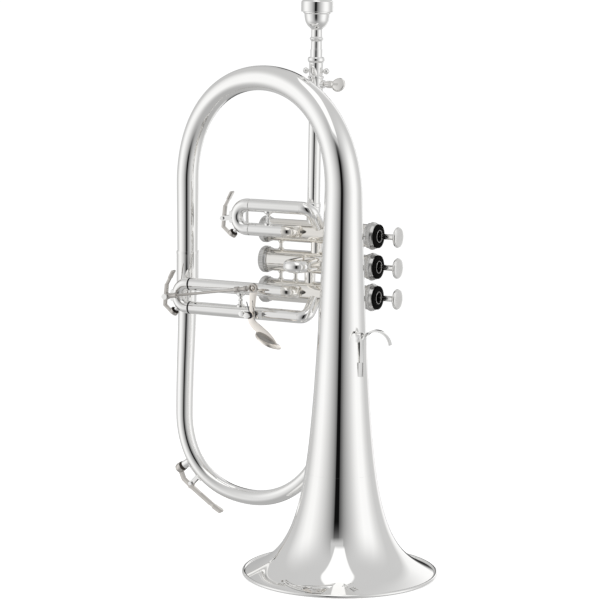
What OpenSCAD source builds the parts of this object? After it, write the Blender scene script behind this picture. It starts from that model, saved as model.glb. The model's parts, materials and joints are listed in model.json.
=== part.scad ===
// Flugelhorn in silver plate, standing on its bell.
// Frame: the origin is the centre of the bell mouth, +Z is up the bell axis,
// +X runs along the valves toward the finger buttons, and +Y runs from the
// bell toward the valve block. All dimensions are millimetres.

/* [Bell] */
// Diameter over the rolled rim
bell_d = 152.4; // [140:0.1:165]
// Height of the bell, flare and throat together
bell_h = 292; // [260:1:320]
// Height of the seam between the spun flare and the throat
bell_seam_z = 80; // [50:1:120]
// Horn flare constant, the distance scale of the curve
flare_scale = 14.6; // [8:0.1:25]
// Horn flare exponent
flare_power = 0.561; // [0.4:0.001:0.8]
// Extra radius in the middle of the throat
throat_swell = 0.8; // [0:0.1:2]
// Extra radius of the throat over the plain horn curve
throat_gain = 1; // [0:0.1:2]
// Sheet thickness of bell and bows
bell_wall = 0.6; // [0.4:0.1:1.2]
// Diameter of the rim wire
rim_wire_d = 2.6; // [1.5:0.1:4]

/* [Bell bow] */
// Height of the bow centre line at its top
bow_top_z = 382; // [360:1:400]
// Position of the left tube along the valves
left_x = -167; // [-180:0.5:-150]
// Distance of valve block and left tube behind the bell axis
block_y = 46; // [40:0.5:60]
// Outer radius half way round the bow
bow_mid_r = 9.8; // [8:0.1:12]
// Outer radius of the left tube where the bow ends
bow_low_r = 8.9; // [7:0.1:10]
// Outer radius of the left tube in its ferrule
bow_end_r = 8.4; // [7:0.1:10]
// How far the shoulders of the bow stand out from a half circle
bow_shoulder = 1.6; // [0:0.1:3]
// Height of the top of the bow ferrule
ferrule_z = 238; // [225:1:250]
// Length of the bow ferrule
ferrule_h = 30; // [15:1:40]

/* [Bottom bow] */
// Height of the two ends of the bottom arc
bottom_z = 103; // [90:1:115]
// Position of the left leg where the arc starts
bottom_left_x = -169.8; // [-180:0.1:-160]
// Position of the right leg under the third casing
outlet_x = -40.2; // [-45:0.1:-35]
// Distance of the right leg behind the bell axis
outlet_y = 48; // [46:0.5:52]
// Height of the right leg where the outlet ferrule sits
outlet_z = 150; // [130:1:180]
// Outer radius of the left leg in the bow ferrule
bottom_top_r = 7.6; // [6:0.1:8.4]
// Outer radius of the left leg where the arc starts
bottom_left_r = 6.9; // [6:0.1:8]
// How far the left shoulder of the arc stands out from a half circle
bottom_shoulder = 2; // [0:0.1:3]
// Outer radius at the outlet ferrule
bottom_right_r = 5.5; // [5:0.1:6.5]

/* [Leadpipe and mouthpiece] */
// Position of the leadpipe along the valves
lead_x = -50.5; // [-60:0.5:-40]
// Lean of the leadpipe toward the buttons, in degrees
lead_lean = 0.6; // [0:0.1:2]
// Outer diameter of the leadpipe
lead_od = 10.1; // [9:0.1:12]
// Height of the top of the leadpipe sleeve
sleeve_top_z = 383.6; // [370:0.1:395]
// Length of the leadpipe sleeve
sleeve_h = 31; // [20:1:40]
// Height of the top of the receiver collar
receiver_top_z = 398.5; // [390:0.5:410]
// Height of the mouthpiece rim, the top of the instrument
mouthpiece_top_z = 443.2; // [430:0.1:455]
// Diameter of the mouthpiece rim
mouthpiece_rim_d = 25; // [22:0.1:28]
// Cup opening of the mouthpiece
cup_d = 16.6; // [15:0.1:18]

/* [Valves] */
// Height of the middle valve axis
valve_z = 236; // [230:0.5:245]
// Spacing of the valve axes
valve_pitch = 24.3; // [22:0.1:28]
// Casing outer diameter
casing_od = 17.8; // [16:0.1:20]
// Casing bore
casing_id = 16.4; // [14:0.1:18]
// Position of the casing end under the bottom cap
casing_x0 = -92; // [-100:0.5:-85]
// Position of the casing end under the top cap
casing_x1 = 3; // [-5:0.5:8]
// Diameter over the bottom cap knurl
bottom_cap_d = 21.4; // [19:0.1:23]
// Diameter over the top cap knurl
top_cap_d = 21.8; // [19:0.1:23]
// Valve travel
valve_travel = 14; // [10:0.5:18]
// Piston length
piston_len = 48; // [40:1:60]
// Stem diameter
stem_d = 4.4; // [3:0.1:6]
// Finger button diameter
button_d = 15.8; // [13:0.1:18]
// Position of the finger button face
button_x = 26.2; // [22:0.1:30]

/* [Slides] */
// Distance of the first and third slide behind the bell axis
slide_y = 27; // [22:0.5:32]
// Spacing of the two legs of the first and third slide
leg_pitch = 19.2; // [17:0.1:24]
// Outer diameter of the slide sleeves and crooks
sleeve_od = 10.2; // [9:0.1:12.5]
// Bore of the slide sleeves
sleeve_id = 9.2; // [8:0.1:11.5]
// Bore of the inner slide legs
leg_id = 8.4; // [7:0.1:10.5]
// Height of the lower leg of the first slide
slide1_z = 261.6; // [258:0.1:265]
// Height of the lower leg of the third slide
slide3_z = 194.3; // [190:0.1:198]
// Centre of the second slide along the valves
slide2_x = -50; // [-54:0.1:-46]
// Spacing of the second slide legs
slide2_pitch = 13.2; // [12:0.1:15]
// Outer diameter of the second slide crook
slide2_od = 9.8; // [8:0.1:11]

/* [Trigger] */
// Position of the trigger hinge along the valves
hinge_x = -89.4; // [-95:0.1:-85]
// Height of the trigger hinge
hinge_z = 194.7; // [190:0.1:200]
// Distance of the linkage rod behind the bell axis
rod_y = 12.6; // [10:0.1:16]
// Linkage rod diameter
rod_d = 2.2; // [1.5:0.1:3]

/* [Hidden] */
$fn = 72;
fit = 0.05;
valve_z1 = valve_z + valve_pitch;
valve_z3 = valve_z - valve_pitch;
casing_r = casing_od / 2;
bell_r = bell_d / 2;
left_y = block_y;
port_d = 8.2;
elbow_od = 10;
slide1_top_z = slide1_z + leg_pitch;
slide3_top_z = slide3_z + leg_pitch;
bend_r = leg_pitch / 2;

silver = [0.86, 0.86, 0.85];
nickel = [0.66, 0.65, 0.62];
black = [0.06, 0.06, 0.06];

// ---------- helpers ----------

function unit(v) = v / norm(v);
function mix(a, b, t) = a + (b - a) * t;
function smooth(t) = t * t * (3 - 2 * t);
// Points along a cubic curve with end points a and d and handles b and c.
function curve(a, b, c, d, steps) = [
  for (i = [0:steps])
    let (t = i / steps, u = 1 - t)
      u * u * u * a + 3 * t * u * u * b + 3 * t * t * u * c + t * t * t * d
];

// A solid rod of diameter d between two points.
module rod(p, q, d) {
  v = q - p;
  translate(p)
    rotate([0, acos(v[2] / norm(v)), atan2(v[1], v[0])])
      cylinder(h = norm(v), d = d);
}

// A tube between two points.
module pipe(p, q, od, id) {
  u = unit(q - p);
  difference() {
    rod(p, q, od);
    rod(p - u, q + u, id);
  }
}

// A ring profile for revolved tubes.
module ring2d(od, id) {
  difference() {
    circle(d = od);
    circle(d = id);
  }
}

// A body of revolution about a line parallel to X, from [x, radius] points.
module turned_x(y, z, outline) {
  translate([0, y, z])
    rotate([90, 0, 90])
      rotate_extrude()
        polygon([for (p = outline) [p[1], p[0]]]);
}

// A body of revolution about a vertical line, from [radius, z] points.
module turned_z(x, y, outline) {
  translate([x, y, 0])
    rotate_extrude()
      polygon(outline);
}

// A flat bar with round ends, drawn in the plane. Its sides lie just inside the
// round ends, so that straight and round edges cross instead of touching.
module bar2d(p, q, w) {
  v = q - p;
  translate(p)
    rotate(atan2(v[1], v[0]))
      translate([0, 0.01 - w / 2])
        square([norm(v), w - 0.02]);
  translate(p)
    circle(d = w);
  translate(q)
    circle(d = w);
}

// A flat plate in the X-Z plane, w thick, with its front face at y.
module plate_xz(y, w) {
  translate([0, y + w, 0])
    rotate([90, 0, 0])
      linear_extrude(w)
        children();
}

// A toothed grip band about a line parallel to X.
module knurl(x0, x1, y, z, d, count, depth) {
  translate([x0, y, z])
    rotate([90, 0, 90])
      linear_extrude(x1 - x0)
        polygon([
          for (i = [0:2 * count - 1])
            let (a = 180 * i / count, r = d / 2 - (i % 2) * depth)
              [r * cos(a), r * sin(a)]
        ]);
}

// ---------- swept bows ----------

// Tube along a path in an upright plane: n is the level normal of the plane.
module swept_tube(path, radii, wall, n, sides) {
  count = len(path);
  last = count - 1;
  tangents = [for (i = [0:last]) unit(path[min(i + 1, last)] - path[max(i - 1, 0)])];
  outer = [
    for (i = [0:last])
      for (k = [0:sides - 1])
        let (a = 360 * k / sides, m = cross(n, tangents[i]))
          path[i] + radii[i] * (cos(a) * m + sin(a) * n)
  ];
  inner = [
    for (i = [0:last])
      for (k = [0:sides - 1])
        let (a = 360 * k / sides, m = cross(n, tangents[i]))
          path[i] + (radii[i] - wall) * (cos(a) * m + sin(a) * n)
  ];
  off = count * sides;
  skin = [
    for (i = [0:last - 1])
      for (k = [0:sides - 1])
        let (
          a = i * sides + k,
          b = i * sides + (k + 1) % sides,
          c = b + sides,
          d = a + sides
        )
          each [[a, b, c], [a, c, d], [off + a, off + c, off + b], [off + a, off + d, off + c]]
  ];
  ends = [
    for (k = [0:sides - 1])
      let (
        a = k,
        b = (k + 1) % sides,
        c = last * sides + k,
        d = last * sides + (k + 1) % sides
      )
        each [[a, off + a, off + b], [a, off + b, b], [c, d, off + d], [c, off + d, off + c]]
  ];
  faces = [for (f = concat(skin, ends)) [f[0], f[2], f[1]]];
  polyhedron(points = concat(outer, inner), faces = faces, convexity = 6);
}

// ---------- bell ----------

rim_r = bell_r - rim_wire_d / 2;
rim_edge_z = 1.1;
throat_scale = 50;

function flare(z) =
  rim_r * pow(1 + z / flare_scale, -flare_power)
  + throat_swell * sin(180 * z / bell_h)
  + throat_gain * (1 - exp(-z / throat_scale));
function flare_point(z) = [flare(z), mix(rim_edge_z, 0, z / bell_h) + z];
function flare_normal(z) =
  let (d = flare_point(min(z + 0.01, bell_h)) - flare_point(min(z + 0.01, bell_h) - 0.01))
    unit([d[1], -d[0]]);

// Section through the wall of the bell between two heights.
module bell_skin(z0, z1, crowding) {
  steps = 24;
  heights = [for (i = [0:steps]) z0 + (z1 - z0) * pow(i / steps, crowding)];
  outer = [for (z = heights) flare_point(z)];
  inner = [
    for (i = [steps:-1:0])
      flare_point(heights[i]) - bell_wall * flare_normal(heights[i])
  ];
  polygon(concat(outer, inner));
}

module bell_flare() {
  color(silver)
    rotate_extrude($fn = 128)
      bell_skin(0, bell_seam_z, 1.8);
}

module bell_throat() {
  color(silver)
    rotate_extrude($fn = 128)
      bell_skin(bell_seam_z + 0.02, bell_h, 1.2);
}

module rim_wire() {
  color(silver)
    rotate_extrude($fn = 128)
      difference() {
        translate([rim_r, rim_wire_d / 2 - 0.15])
          circle(d = rim_wire_d);
        translate([0, -2])
          square([bell_r + 1, 2]);
        bell_skin(0, bell_seam_z, 1.8);
      }
}

bow_dir = unit([left_x, left_y, 0]);
bow_normal = cross([0, 0, 1], bow_dir);
bow_half = norm([left_x, left_y]) / 2;
bow_spring_z = bow_top_z - bow_half;
bow_steps = 32;

function bow_point(a) =
  let (r = bow_half + bow_shoulder * pow(sin(2 * a), 2))
    bow_dir * (bow_half - r * cos(a)) + [0, 0, bow_spring_z + r * sin(a)];
function bow_radius(t) =
  let (start = flare(bell_h), sag = (start + bow_low_r) / 2 - bow_mid_r)
    mix(start, bow_low_r, t) - 4 * sag * t * (1 - t);

module bell_bow() {
  leg_steps = 5;
  arc = [for (i = [0:bow_steps]) bow_point(180 * i / bow_steps)];
  start = [0, 0, bell_h];
  finish = [left_x, left_y, ferrule_z - 6];
  leg = [for (i = [1:leg_steps]) mix(arc[bow_steps], finish, i / (leg_steps + 1))];
  path = concat([start], arc, leg, [finish]);
  radii = concat(
    [flare(bell_h)],
    [for (i = [0:bow_steps]) bow_radius(i / bow_steps)],
    [for (i = [1:leg_steps]) mix(bow_low_r, bow_end_r, i / leg_steps)],
    [bow_end_r]
  );
  color(silver)
    swept_tube(path, radii, bell_wall, bow_normal, 30);
}

module bow_ferrule() {
  seat_r = bow_end_r + 0.02;
  lower_r = bottom_top_r + 0.02;
  color(silver)
    turned_z(left_x, left_y, [
      [seat_r, ferrule_z],
      [seat_r + 0.55, ferrule_z],
      [seat_r + 0.75, ferrule_z - 0.6],
      [seat_r + 0.75, ferrule_z - 2.2],
      [seat_r + 0.55, ferrule_z - 2.8],
      [seat_r + 0.55, ferrule_z - ferrule_h + 5],
      [lower_r + 0.5, ferrule_z - ferrule_h],
      [lower_r, ferrule_z - ferrule_h],
      [lower_r, ferrule_z - 6.1],
      [seat_r, ferrule_z - 6.1]
    ]);
}

module bottom_bow() {
  left = [bottom_left_x, left_y, bottom_z];
  right = [outlet_x, outlet_y, bottom_z];
  dir = unit(right - left);
  half = norm(right - left) / 2;
  normal = cross([0, 0, 1], dir);
  top = ferrule_z - 6.4;
  lean_z = ferrule_z - ferrule_h - 0.2;
  leg_steps = 8;
  leg = concat(
    [[left_x, left_y, top]],
    [
      for (i = [0:leg_steps - 2])
        let (t = i / (leg_steps - 1))
          [mix(left_x, bottom_left_x, smooth(t)), left_y, mix(lean_z, bottom_z, t)]
    ]
  );
  arc_steps = 30;
  arc = [
    for (i = [0:arc_steps])
      let (
        a = 180 * i / arc_steps,
        r = half + (a < 90 ? bottom_shoulder * pow(sin(2 * a), 2) : 0)
      )
        left + dir * (half - r * cos(a)) - [0, 0, r * sin(a)]
  ];
  path = concat(leg, arc, [right + [0, 0, outlet_z - bottom_z]]);
  radii = concat(
    [bottom_top_r],
    [for (i = [0:leg_steps - 2]) mix(bottom_top_r, bottom_left_r, i / (leg_steps - 1))],
    [for (i = [0:arc_steps]) mix(bottom_left_r, bottom_right_r, i / arc_steps)],
    [bottom_right_r]
  );
  color(silver)
    swept_tube(path, radii, bell_wall, normal, 28);
}

// Knuckle and its ferrule, from the bottom bow up into the third casing.
module outlet_knuckle() {
  od = 10.6;
  color(silver)
    difference() {
      union() {
        rod([outlet_x, outlet_y, outlet_z + 1], [outlet_x, outlet_y, valve_z3 - 3], od);
        turned_z(outlet_x, outlet_y, [
          [0, outlet_z - 8],
          [bottom_right_r + 0.55, outlet_z - 8],
          [bottom_right_r + 0.55, outlet_z + 6],
          [od / 2, outlet_z + 8],
          [0, outlet_z + 8]
        ]);
      }
      rod([outlet_x, outlet_y, outlet_z - 9], [outlet_x, outlet_y, outlet_z + 0.02],
        2 * bottom_right_r + 0.04);
      rod([outlet_x, outlet_y, outlet_z - 1], [outlet_x, outlet_y, valve_z3], 9.4);
      casing_space(valve_z3);
    }
}

// ---------- leadpipe, receiver and mouthpiece ----------

inner_od = 9.8;
sleeve_bottom_z = sleeve_top_z - sleeve_h;
clamp_z = 377.5;

// Leans its children over with the leadpipe, about the first valve.
module on_leadpipe() {
  translate([lead_x, block_y, valve_z1])
    rotate([0, lead_lean, 0])
      translate([-lead_x, -block_y, -valve_z1])
        children();
}

module leadpipe() {
  color(silver)
    difference() {
      on_leadpipe()
        leadpipe_tube();
      casing_space(valve_z1);
    }
}

module leadpipe_tube() {
  top = sleeve_bottom_z + 1;
  z0 = valve_z1 + 3;
  difference() {
    union() {
      rod([lead_x, block_y, z0], [lead_x, block_y, top], lead_od);
      turned_z(lead_x, block_y, [
        [0, z0],
        [lead_od / 2 + 0.45, z0],
        [lead_od / 2 + 0.45, 280],
        [lead_od / 2 + 0.75, 280.4],
        [lead_od / 2 + 0.75, 282.8],
        [lead_od / 2 + 0.3, 283.6],
        [0, 283.6]
      ]);
    }
    rod([lead_x, block_y, z0 - 1], [lead_x, block_y, top + 1], 9.1);
  }
}

module leadpipe_sleeve() {
  bore = inner_od + 2 * fit;
  outer = 5.75;
  on_leadpipe()
    color(silver)
      difference() {
        union() {
          turned_z(lead_x, block_y, [
            [0, sleeve_bottom_z - 4],
            [outer - 0.3, sleeve_bottom_z - 4],
            [outer, sleeve_bottom_z],
            [outer, sleeve_top_z - 1.8],
            [outer + 0.65, sleeve_top_z - 1.5],
            [outer + 0.65, sleeve_top_z - 0.4],
            [outer + 0.25, sleeve_top_z],
            [0, sleeve_top_z]
          ]);
          rod([lead_x, block_y, clamp_z], [lead_x + 7.6, block_y, clamp_z], 6.4);
        }
        rod([lead_x, block_y, sleeve_bottom_z - 5], [lead_x, block_y, sleeve_bottom_z + 1.02],
          lead_od + 0.04);
        rod([lead_x, block_y, sleeve_bottom_z], [lead_x, block_y, sleeve_top_z + 1], bore);
        rod([lead_x, block_y, clamp_z], [lead_x + 9, block_y, clamp_z], 2.6 + 2 * fit);
      }
}

module clamp_screw() {
  base = lead_x + 7.9;
  tip = lead_x + inner_od / 2 + 0.35;
  wing_tilt = 67;
  on_leadpipe()
    color(nickel) {
      turned_x(block_y, clamp_z, [
        [tip, 0],
        [tip, 1],
        [tip + 0.3, 1.3],
        [base, 1.3],
        [base, 1.7],
        [base + 1.4, 2],
        [base + 1.8, 2.6],
        [base + 7, 2.6],
        [base + 7.6, 1.6],
        [base + 12, 1.6],
        [base + 12, 0]
      ]);
      knurl(base + 2.3, base + 6.6, block_y, clamp_z, 5.8, 16, 0.5);
      translate([base + 12.2, block_y, clamp_z])
        rotate([wing_tilt, 0, 0])
          clamp_wing();
    }
}

// Flat oval thumb piece with a softened rim.
module clamp_wing() {
  rotate_extrude()
    polygon([
      [0, -1.2],
      [4.4, -1.2],
      [5.4, -0.9],
      [5.7, -0.3],
      [5.7, 0.3],
      [5.4, 0.9],
      [4.4, 1.2],
      [0, 1.2]
    ]);
}

module receiver() {
  top = receiver_top_z;
  body_r = 5.5;
  knob_z = 387.7;
  shoulder = sleeve_top_z + 0.4;
  on_leadpipe()
    color(silver)
      difference() {
        union() {
          turned_z(lead_x, block_y, [
            [0, sleeve_bottom_z + 2],
            [inner_od / 2, sleeve_bottom_z + 2],
            [inner_od / 2, shoulder],
            [body_r - 0.3, shoulder],
            [body_r, shoulder + 0.5],
            [body_r, top - 4.4],
            [body_r + 0.5, top - 3.9],
            [body_r + 1.1, top - 3],
            [body_r + 1.1, top - 1],
            [body_r + 0.6, top],
            [0, top]
          ]);
          for (s = [-1, 1]) {
            rod([lead_x, block_y, knob_z], [lead_x + s * 8, block_y, knob_z], 2.2);
            translate([lead_x + s * 9.1, block_y, knob_z])
              sphere(d = 4.8);
            turned_x(block_y, knob_z, [
              [lead_x + s * 5, 0],
              [lead_x + s * 5, 2.3],
              [lead_x + s * 6.8, 1.2],
              [lead_x + s * 6.8, 0]
            ]);
          }
        }
        // tapered socket for the mouthpiece shank
        turned_z(lead_x, block_y, [
          [0, top - 26],
          [4.06 + fit, top - 26],
          [4.62 + fit, top + 0.01],
          [0, top + 0.01]
        ]);
        rod([lead_x, block_y, sleeve_bottom_z + 1], [lead_x, block_y, top - 25], 8.0);
      }
}

module mouthpiece() {
  top = mouthpiece_top_z;
  r = mouthpiece_rim_d / 2;
  cup = cup_d / 2;
  tip = receiver_top_z - 23;
  on_leadpipe()
    color(silver)
      turned_z(lead_x, block_y, [
        // outside, from the shank tip up
        [3.6, tip],
        [4.06 + 3 * 0.0215, tip],
        [4.62, receiver_top_z],
        [4.75, receiver_top_z + 5.6],
        [4.3, receiver_top_z + 6.4],
        [4.2, receiver_top_z + 12],
        [4.5, receiver_top_z + 12.8],
        [5.3, receiver_top_z + 13.9],
        [5.3, receiver_top_z + 14.7],
        [4.4, receiver_top_z + 16],
        [4.3, receiver_top_z + 21.4],
        [5.1, receiver_top_z + 22.6],
        [7.2, receiver_top_z + 24.6],
        [8.8, receiver_top_z + 27.4],
        [9.6, receiver_top_z + 30.6],
        [9.9, receiver_top_z + 33.6],
        [10.5, receiver_top_z + 34.2],
        [10.8, top - 10.4],
        [10.8, top - 9.6],
        [r, top - 9.2],
        [r, top - 2.4],
        [r - 0.5, top - 1],
        [r - 1.6, top - 0.2],
        [r - 2.6, top],
        [cup + 0.5, top - 0.6],
        [cup, top - 1.6],
        // inside, down the cup, the throat and the backbore
        [cup - 0.4, top - 5],
        [cup - 1.9, top - 10],
        [cup - 4, top - 16],
        [2.6, top - 21],
        [2.2, top - 24],
        [2.2, top - 29]
      ]);
}

// ---------- valves ----------

// The space a casing fills, used to seat the tubes that meet it.
module casing_space(z) {
  rod([casing_x0, block_y, z], [casing_x1, block_y, z], casing_od);
}

crossover12_x = -47.4;
crossover23_x = -53;
piston_x0 = -75;

// Windway through the wall of a casing, from its axis in direction [0, dy, dz].
module port(x, z, dir, d) {
  rod([x, block_y, z], [x, block_y, z] + unit(dir) * casing_od, d);
}

module casing_shell(z) {
  color(silver)
    difference() {
      turned_x(block_y, z, [
        [casing_x0, casing_id / 2],
        [casing_x0, casing_r],
        [casing_x1, casing_r],
        [casing_x1, casing_id / 2]
      ]);
      children();
    }
}

function seat_dir(y, z, zc) = unit([0, y - block_y, z - zc]);

module casing_1() {
  casing_shell(valve_z1) {
    port(lead_x, valve_z1, [0, 0, 1], port_d);
    port(crossover12_x, valve_z1, [0, 0, -1], 7.6);
    port(elbow1_low_x, valve_z1, seat_dir(slide_y, slide1_z, valve_z1), port_d);
    port(elbow1_up_x, valve_z1, seat_dir(slide_y, slide1_top_z, valve_z1), port_d);
  }
}

module casing_2() {
  casing_shell(valve_z) {
    port(crossover12_x, valve_z, [0, 0, 1], 7.6);
    port(crossover23_x, valve_z, [0, 0, -1], 7.6);
    for (s = [-1, 1])
      port(slide2_x + s * slide2_pitch / 2, valve_z, [0, -1, 0], 7.6);
  }
}

module casing_3() {
  casing_shell(valve_z3) {
    port(crossover23_x, valve_z3, [0, 0, 1], 7.6);
    port(outlet_x, valve_z3, [0, 0, -1], port_d);
    port(elbow3_up_x, valve_z3, seat_dir(slide_y, slide3_top_z, valve_z3), port_d);
    port(elbow3_low_x, valve_z3, seat_dir(slide_y, slide3_z, valve_z3), port_d);
  }
}

// Short turned posts soldered between neighbouring casings.
module casing_post(x, z_low) {
  z0 = z_low + casing_r - 1;
  z1 = z_low + valve_pitch - casing_r + 1;
  mid = (z0 + z1) / 2;
  difference() {
    turned_z(x, block_y, [
      [0, z0],
      [2.6, z0],
      [2.6, z0 + 1.4],
      [1.5, z0 + 2.4],
      [1.5, mid],
      [1.5, z1 - 2.4],
      [2.6, z1 - 1.4],
      [2.6, z1],
      [0, z1]
    ]);
    casing_space(z_low);
    casing_space(z_low + valve_pitch);
  }
}

module casing_braces() {
  color(silver) {
    casing_post(-79.4, valve_z);
    casing_post(-79.4, valve_z3);
    casing_post(-66, valve_z3);
    casing_post(-12, valve_z);
    casing_post(-12, valve_z3);
  }
}

module crossover(x, z_low) {
  color(silver)
    difference() {
      pipe([x, block_y, z_low + 3], [x, block_y, z_low + valve_pitch - 3], 8.8, 7.6);
      casing_space(z_low);
      casing_space(z_low + valve_pitch);
    }
}

// The two short tubes that join neighbouring casings.
module crossovers() {
  crossover(crossover12_x, valve_z);
  crossover(crossover23_x, valve_z3);
}

// Cap screwed over the lower end of a casing: knurled rim, domed end, vent hole.
module bottom_cap(z) {
  r = bottom_cap_d / 2;
  seat = casing_r + 0.02;
  end = casing_x0 - 0.02;
  color(nickel)
    difference() {
      union() {
        turned_x(block_y, z, [
          [-99, 0],
          [-99, 2.4],
          [-98.2, 3.2],
          [-97, 6.5],
          [-95.6, 8.8],
          [-95.2, r - 0.6],
          [-94.6, r - 0.25],
          [-91, r - 0.25],
          [-90.4, r - 0.7],
          [-90.2, 9.9],
          [-88.8, 9.8],
          [-88.4, 9.4],
          [-88.4, 0]
        ]);
        knurl(-94.4, -91.1, block_y, z, bottom_cap_d, 48, 0.4);
      }
      rod([end, block_y, z], [-80, block_y, z], 2 * seat);
      rod([-96, block_y, z], [-80, block_y, z], 14);
      rod([-100, block_y, z], [-90, block_y, z], 2.6);
    }
}

module bottom_cap_1() {
  bottom_cap(valve_z1);
}

module bottom_cap_2() {
  bottom_cap(valve_z);
}

module bottom_cap_3() {
  bottom_cap(valve_z3);
}

felt_x0 = 6.6;
felt_x1 = 8.4;

// Cap screwed over the upper end of a casing, bored for the stem.
module top_cap(z) {
  r = top_cap_d / 2;
  color(nickel)
    difference() {
      union() {
        turned_x(block_y, z, [
          [-1.2, 0],
          [-1.2, 9.5],
          [-0.8, 9.9],
          [0.8, 10],
          [1.2, r - 0.5],
          [1.7, r - 0.2],
          [3.6, r - 0.2],
          [4.1, r - 0.6],
          [4.4, 10.1],
          [5.9, 9.8],
          [felt_x0, 9.4],
          [felt_x0, 0]
        ]);
        knurl(1.8, 3.5, block_y, z, top_cap_d, 52, 0.35);
      }
      rod([-5, block_y, z], [casing_x1 + 0.02, block_y, z], casing_od + 0.04);
      rod([-5, block_y, z], [4.6, block_y, z], 14.5);
      rod([0, block_y, z], [10, block_y, z], stem_d + 2 * fit);
    }
}

module top_cap_1() {
  top_cap(valve_z1);
}

module top_cap_2() {
  top_cap(valve_z);
}

module top_cap_3() {
  top_cap(valve_z3);
}

module cap_felt(z) {
  color(black)
    turned_x(block_y, z, [
      [felt_x0, stem_d / 2 + 0.8],
      [felt_x0, 9.3],
      [felt_x1 - 0.3, 9.3],
      [felt_x1, 9],
      [felt_x1, stem_d / 2 + 0.8]
    ]);
}

module cap_felt_1() {
  cap_felt(valve_z1);
}

module cap_felt_2() {
  cap_felt(valve_z);
}

module cap_felt_3() {
  cap_felt(valve_z3);
}

// Hollow piston with its cross passages; the stem screws into its top.
module piston(z, rest_in, rest_out, slide_in, slide_dir) {
  od = casing_id - 2 * fit;
  x1 = piston_x0 + piston_len;
  axis = [0, block_y, z];
  shift = valve_travel;
  d = 7;
  color(nickel)
    difference() {
      rod([piston_x0, block_y, z], [x1, block_y, z], od);
      // open lower end
      rod([piston_x0 - 1, block_y, z], [piston_x0 + 5, block_y, z], od - 2);
      // spring well and stem thread
      rod([x1 - 6, block_y, z], [x1 + 1, block_y, z], 3.2);
      // passage open at rest
      rod(axis + [rest_in, 0, od], axis + [rest_in, 0, 0], d);
      rod(axis + [rest_out, 0, 0], axis + [rest_out, 0, -od], d);
      rod(axis + [rest_in - 1, 0, 0], axis + [rest_out + 1, 0, 0], d - 1);
      // passage open when the piston is down
      rod(axis + [slide_in + shift, 0, 0], axis + [slide_in + shift, 0, 0] + slide_dir * od, d);
    }
}

module piston_1() {
  piston(valve_z1, lead_x, crossover12_x, elbow1_low_x, seat_dir(slide_y, slide1_z, valve_z1));
}

module piston_2() {
  piston(valve_z, crossover12_x, crossover23_x, slide2_x - slide2_pitch / 2, [0, -1, 0]);
}

module piston_3() {
  piston(valve_z3, crossover23_x, outlet_x, elbow3_up_x, seat_dir(slide_y, slide3_top_z, valve_z3));
}

// Finger button in one piece with its stem.
module button(z) {
  x1 = piston_x0 + piston_len;
  base = button_x - 3.3;
  r = button_d / 2;
  color(nickel)
    turned_x(block_y, z, [
      [x1 - 5, 0],
      [x1 - 5, 1.6],
      [x1, 1.6],
      [x1, 4.5],
      [x1 + 3, 4.5],
      [x1 + 3, stem_d / 2],
      [base - 0.8, stem_d / 2],
      [base - 0.2, 2.6],
      [base, 3.2],
      [base, r - 1.2],
      [base + 0.5, r - 0.3],
      [base + 1, r],
      [base + 2, r],
      [base + 2.7, r - 0.4],
      [base + 3, r - 1.2],
      [base + 3.3, r - 2.8],
      [base + 3.2, 3],
      [base + 3.15, 0]
    ]);
}

module button_1() {
  button(valve_z1);
}

module button_2() {
  button(valve_z);
}

module button_3() {
  button(valve_z3);
}

// ---------- first and third slide ----------

elbow1_low_start = -66.6;
elbow1_up_start = -50.6;
elbow3_up_start = -66.6;
elbow3_low_start = -51.6;
tight_r = 6.5;
wide_r = 8;
elbow1_low_x = elbow1_low_start + tight_r;
elbow1_up_x = elbow1_up_start + wide_r;
elbow3_up_x = elbow3_up_start + tight_r;
elbow3_low_x = elbow3_low_start + 6;
gap1_x = -97;
gap3_x = -152.3;
crook1_x = gap1_x - 2.8;
crook3_x = gap3_x - 2.5;

// Elbow from a slide leg round into the side of a casing.
module leg_elbow(x, z, zc, r) {
  reach = norm([block_y - slide_y, zc - z]);
  tilt = atan2(zc - z, block_y - slide_y);
  color(silver)
    difference() {
      translate([x, slide_y, z])
        rotate([tilt, 0, 0]) {
          translate([0, r, 0])
            rotate([0, 0, -90])
              rotate_extrude(angle = 90)
                translate([r, 0])
                  ring2d(elbow_od, 8.8);
          pipe([r, r - 0.01, 0], [r, reach - 3, 0], elbow_od, 8.8);
        }
      casing_space(zc);
    }
}

module slide1_elbow_upper() {
  leg_elbow(elbow1_up_start, slide1_top_z, valve_z1, wide_r);
}

module slide1_elbow_lower() {
  leg_elbow(elbow1_low_start, slide1_z, valve_z1, tight_r);
}

module slide3_elbow_upper() {
  leg_elbow(elbow3_up_start, slide3_top_z, valve_z3, tight_r);
}

module slide3_elbow_lower() {
  leg_elbow(elbow3_low_start, slide3_z, valve_z3, 6);
}

// Outer slide tube, chamfered at each end so that its seams show.
module leg_sleeve(x0, x1, z) {
  r = sleeve_od / 2;
  chamfer = 0.35;
  color(silver)
    turned_x(slide_y, z, [
      [x0, sleeve_id / 2],
      [x0, r - chamfer],
      [x0 + chamfer, r],
      [x1 - chamfer, r],
      [x1, r - chamfer],
      [x1, sleeve_id / 2]
    ]);
}

module slide1_sleeve_upper() {
  leg_sleeve(gap1_x, elbow1_up_start, slide1_top_z);
}

module slide1_sleeve_lower() {
  leg_sleeve(gap1_x, elbow1_low_start, slide1_z);
}

module slide3_sleeve_upper() {
  leg_sleeve(gap3_x, elbow3_up_start, slide3_top_z);
}

module slide3_sleeve_lower() {
  leg_sleeve(gap3_x, elbow3_low_start, slide3_z);
}

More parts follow.
